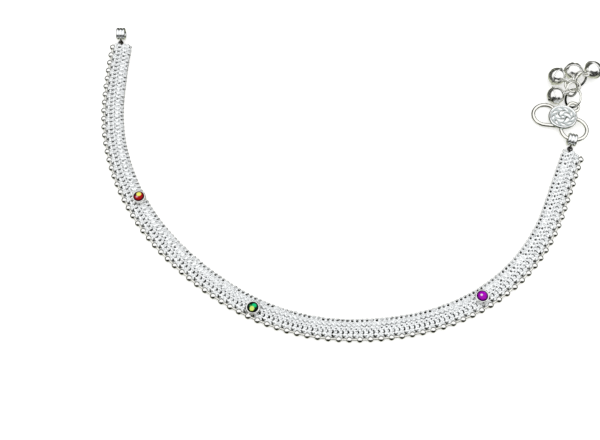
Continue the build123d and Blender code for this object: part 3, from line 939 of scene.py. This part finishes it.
def bell_shell(dents):
    """A hollow ball about Z, open in a dumbbell slot round its lower pole.

    Rows run at even angles from the slot's edge to the top, outside and inside; the columns lie
    closer round the slot's holes.
    """
    edge = np.arcsin(SLOT_HOLE_R / SLOT_HALF)
    quarter = np.concatenate([np.linspace(0, edge, 10)[:-1], np.linspace(edge, pi / 2, 13)[:-1]])
    half = np.concatenate([quarter, [pi / 2], pi - quarter[:0:-1]])
    b = np.concatenate([half, pi + half])[None, :]
    outside, inside = BELL_R - 0.01, BELL_R - BELL_WALL
    slot = pi - np.arcsin(np.clip(slot_reach(b) / outside, 0, 0.96))

    def rows(radius, a):
        """Points of a ball's skin: (sin a cos b, sin a sin b, cos a) times its radius."""
        return radius * np.stack([np.sin(a) * np.cos(b), np.sin(a) * np.sin(b), np.cos(a)], -1)

    to_seam = slot + (pi / 2 - slot) * np.linspace(0.04, 1, 12)[:, None]
    to_top = np.linspace(pi / 2, 0.12, 14)[1:, None] + 0 * b
    out = rows(outside, np.concatenate([to_seam, to_top]))
    for direction, width, depth in dents:
        away = np.arccos(np.clip(unit(out) @ unit(np.array(direction)), -1, 1))
        out = out * (1 - depth / outside * bump(away / width))[..., None]
    lining = [rows(inside, to_top[::-2]), rows(inside, to_seam[::-2]), rows(inside, slot)]
    rings = np.concatenate([*lining, rows(outside - 0.04, slot), out])
    return capped(rings, (0, 0, inside), (0, 0, outside))


def bell(dents):
    """A jingle bell about its middle: two pressed halves, the folded seam, and a loop on top."""
    loop = ring(BELL_LOOP_R, BELL_LOOP_WIRE / 2, 28, 10)
    loop = placed(loop, (0, 0, BELL_LOOP_AT), FACING_Y)
    return joined([bell_shell(dents), turned(SEAM, 72), loop, turned(LOOP_SOLDER, 20)])


def bell_axes(centre, eye):
    """Rows of a bell's axes: it points from its middle to its loop's eye, its loop upright."""
    axis = unit(eye - centre)
    side = unit(np.cross(axis, [0, 0, 1]))
    return np.stack([np.cross(side, axis), side, axis])


def bell_height(climb):
    """Height of a bell's middle when its seam rests on the surface and its axis climbs."""
    return SEAM_R * cos(radians(climb)) + SEAM_T / 2 * sin(radians(climb))


def eye_height(climb):
    """Height of the middle of that bell's loop."""
    return bell_height(climb) + BELL_LOOP_AT * sin(radians(climb))


def by_clasp(point, z):
    """A place measured from the middle of the closed loop, in the frame."""
    return in_frame(np.add(point, CLASP_AT), z)


def hub_point(heading, radius):
    """A point that far from the hub ring's middle, at the height of the hub ring."""
    return by_clasp(stepped(HUB_CENTRE, heading, radius), eye_height(HUB_CLIMB))


def make_bells_and_rings():
    """The tab's ring, the hub ring that hangs on it, and the bells, on the hub or on own rings."""
    inside = HUB_RADIUS - RING_WIRE - RING_CLEAR  # where a ring that hangs on the hub passes it
    hub = hub_point(0, 0)
    hole = np.array([*TAB_CENTRE, PLATE_LOW + PLATE_T / 2]) @ CLASP_AXES + CLASP_ORIGIN
    to_tab = degrees(atan2(hole[1] - hub[1], hole[0] - hub[0]))
    make_leaning_ring("jump_ring_1", hole, hub_point(to_tab, inside), TAB_RING_LEAN, TAB_RING_CUT)
    make_jump_ring("jump_ring_2", HUB_RADIUS, HUB_CUT, hub)
    bells = {}
    out = HUB_RADIUS + BELL_LOOP_AT * cos(radians(HUB_CLIMB))
    for name, heading in HUB_BELLS.items():
        centre = by_clasp(stepped(HUB_CENTRE, heading, out), bell_height(HUB_CLIMB))
        bells[name] = centre, bell_axes(centre, hub_point(heading, HUB_RADIUS))
    for number, name in enumerate(RING_BELLS, start=3):
        place, heading, climb, hub_heading, lean = RING_BELLS[name]
        centre = by_clasp(place, bell_height(climb))
        eye = stepped(place, heading, BELL_LOOP_AT * cos(radians(climb)))
        eye = by_clasp(eye, eye_height(climb))
        on_hub = hub_point(hub_heading, inside)
        make_leaning_ring(f"jump_ring_{number}", eye, on_hub, lean, BELL_RING_CUT)
        bells[name] = centre, turn(z=-lean) @ bell_axes(centre, eye)
    for name, (centre, axes) in bells.items():
        shape = placed(bell(DENTS[name]), centre, axes)
        piece(name + "_shell", shape, BELL_SILVER, [name])


# ===== floor, light and camera =====
def make_world():
    """A white room, dark at the horizon and in a patch low in front of the anklet.

    Only the metal shows it: the camera sees plain white past the sheet.
    """
    world = bpy.data.worlds.new("studio")
    bpy.context.scene.world = world
    world.use_nodes = True
    tree = world.node_tree
    tree.nodes.clear()
    place = add(tree, "ShaderNodeTexCoord").outputs["Generated"]
    axes = add(tree, "ShaderNodeSeparateXYZ", {"Vector": place})
    up, away = axes.outputs["Z"], axes.outputs["Y"]
    raised = add(tree, "ShaderNodeMath", {0: away, 2: up}, {1: BACK_RISE},
                 operation="MULTIPLY_ADD").outputs["Value"]
    ranges = (up, PALE_BELOW), (raised, HORIZON), (away, PATCH_FRONT), (up, PATCH_TOP)
    below, white, front, low = (
        add(tree, "ShaderNodeMapRange", {"Value": value}, ends,
            interpolation_type="SMOOTHSTEP").outputs["Result"]
        for value, ends in ranges
    )
    patch = add(tree, "ShaderNodeMath", {0: front, 1: low}, operation="MULTIPLY")
    colour = layered(tree, ROOM_HORIZON, [(below, ROOM_PALE), (white, ROOM_WHITE),
                                          (patch.outputs["Value"], ROOM_PATCH)])
    seen = add(tree, "ShaderNodeLightPath")
    room = add(tree, "ShaderNodeBackground", {"Color": colour}, {"Strength": ROOM_LIGHT})
    plain = add(tree, "ShaderNodeBackground", {}, {"Color": [1] * 4, "Strength": ROOM_LIGHT})
    mix = add(tree, "ShaderNodeMixShader",
              {0: seen.outputs["Is Camera Ray"], 1: room.outputs[0], 2: plain.outputs[0]})
    add(tree, "ShaderNodeOutputWorld", {"Surface": mix.outputs[0]})


def make_floor():
    """A lit white sheet, large enough to reach the horizon, which the metal doesn't mirror."""
    h = 3.0  # half its side, in metres
    mesh = bpy.data.meshes.new("sheet")
    mesh.from_pydata([(-h, -h, 0), (h, -h, 0), (h, h, 0), (-h, h, 0)], [], [(0, 1, 2, 3)])
    material, tree = new_material("lit white acrylic")
    surface = add(tree, "ShaderNodeBsdfPrincipled",
                  values={"Base Color": linear("#f4f4f2"), "Roughness": 0.9,
                          "Emission Color": (1, 1, 1, 1), "Emission Strength": 0.5})
    add(tree, "ShaderNodeOutputMaterial", {"Surface": surface.outputs["BSDF"]})
    mesh.materials.append(material)
    sheet = bpy.data.objects.new("sheet", mesh)
    bpy.context.scene.collection.objects.link(sheet)
    sheet.visible_glossy = False


def make_camera():
    """Looks down at the anklet from in front of its bow."""
    climb = radians(CAMERA_CLIMB)
    data = bpy.data.cameras.new("camera")
    data.lens, data.sensor_width = 60.0, 36.0
    data.clip_start, data.clip_end = 0.01, 20.0
    camera = bpy.data.objects.new("camera", data)
    bpy.context.scene.collection.objects.link(camera)
    back = np.array([0, -cos(climb), sin(climb)])
    camera.location = (np.array([*SHIFT, 0.0]) + CAMERA_AWAY * back) * MM
    camera.rotation_euler = (pi / 2 - climb, 0, 0)
    bpy.context.scene.camera = camera


make_band()
make_collets()
make_stones()
make_eye("end_eye", END_EYE, END_EYE_HEADING)
make_eye("clasp_eye", CLASP_EYE, CLASP_EYE_HEADING)
make_neck_loops()
make_clasp_wire()
make_medallion()
make_tab()
make_bells_and_rings()
make_floor()
make_world()
make_camera()
bpy.context.scene.view_settings.view_transform = "Standard"
